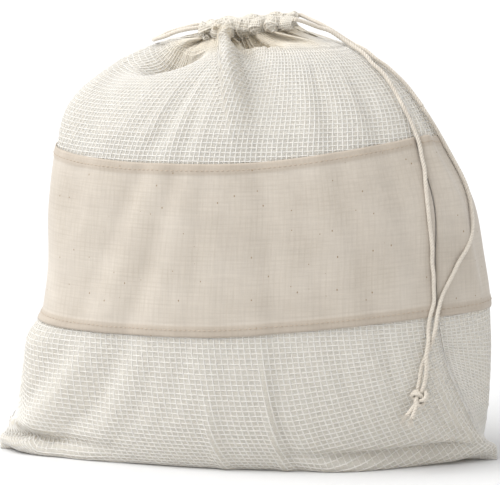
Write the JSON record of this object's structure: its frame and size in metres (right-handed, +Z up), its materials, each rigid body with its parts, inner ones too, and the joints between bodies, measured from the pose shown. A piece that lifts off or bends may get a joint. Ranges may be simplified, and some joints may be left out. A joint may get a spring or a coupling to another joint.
{
  "type": "mesh produce bag",
  "caption": "Filled open-mesh cotton produce bag with a plain cloth band on each face and a drawstring mouth whose two cord ends meet in one knot.",
  "frame": {"origin": "middle of the bag's underside, on the surface that it stands on", "axes": "+Z up, -Y out of the front panel, +X to the right seen from the front"},
  "size_m": [0.3, 0.1324, 0.2688],
  "materials": {
    "cotton_mesh": "open leno weave of unbleached cotton",
    "calico": "plain weave with seed flecks",
    "sewing_thread": "matt cotton thread",
    "cotton_cord": "twisted matt cotton cord"
  },
  "bodies": {
    "bag": {"front_mesh_panel": "cotton_mesh", "back_mesh_panel": "cotton_mesh", "front_band": "calico", "back_band": "calico", "front_band_top_stitching": "sewing_thread", "front_band_bottom_stitching": "sewing_thread", "back_band_top_stitching": "sewing_thread", "back_band_bottom_stitching": "sewing_thread", "left_side_seam": "cotton_mesh", "right_side_seam": "cotton_mesh", "bottom_seam": "cotton_mesh", "front_gathers": "cotton_mesh", "back_gathers": "cotton_mesh", "drawstring_left_span": "cotton_cord", "front_tail_upper": "cotton_cord", "back_tail_upper": "cotton_cord"},
    "front_lip": {"front_hem_channel": "cotton_mesh", "front_hem_stitching": "sewing_thread", "drawstring_front_run": "cotton_cord"},
    "back_lip": {"back_hem_channel": "cotton_mesh", "back_hem_stitching": "sewing_thread", "drawstring_back_run": "cotton_cord"},
    "cord_end": {"front_tail_lower": "cotton_cord", "back_tail_lower": "cotton_cord", "end_knot": "cotton_cord", "cut_ends": "cotton_cord"}
  },
  "joints": [
    {"name": "front_lip_slide", "type": "slide", "parent": "bag", "child": "front_lip", "axis": [0, -1, 0], "range_m": [0, 0.028], "deforming": ["front_gathers", "front_tail_upper", "drawstring_left_span"]},
    {"name": "back_lip_slide", "type": "slide", "parent": "bag", "child": "back_lip", "axis": [0, 1, 0], "range_m": [0, 0.028], "deforming": ["back_gathers", "back_tail_upper"]},
    {"name": "cord_end_slide", "type": "slide", "parent": "bag", "child": "cord_end", "axis": [0.1902, -0.03, 0.9813], "range_m": [0, 0.042], "deforming": ["front_tail_lower", "back_tail_lower"]}
  ],
  "couplings": [
    {"joint": "back_lip_slide", "follows": "front_lip_slide", "ratio": 1},
    {"joint": "cord_end_slide", "follows": "front_lip_slide", "ratio": 1.5}
  ]
}
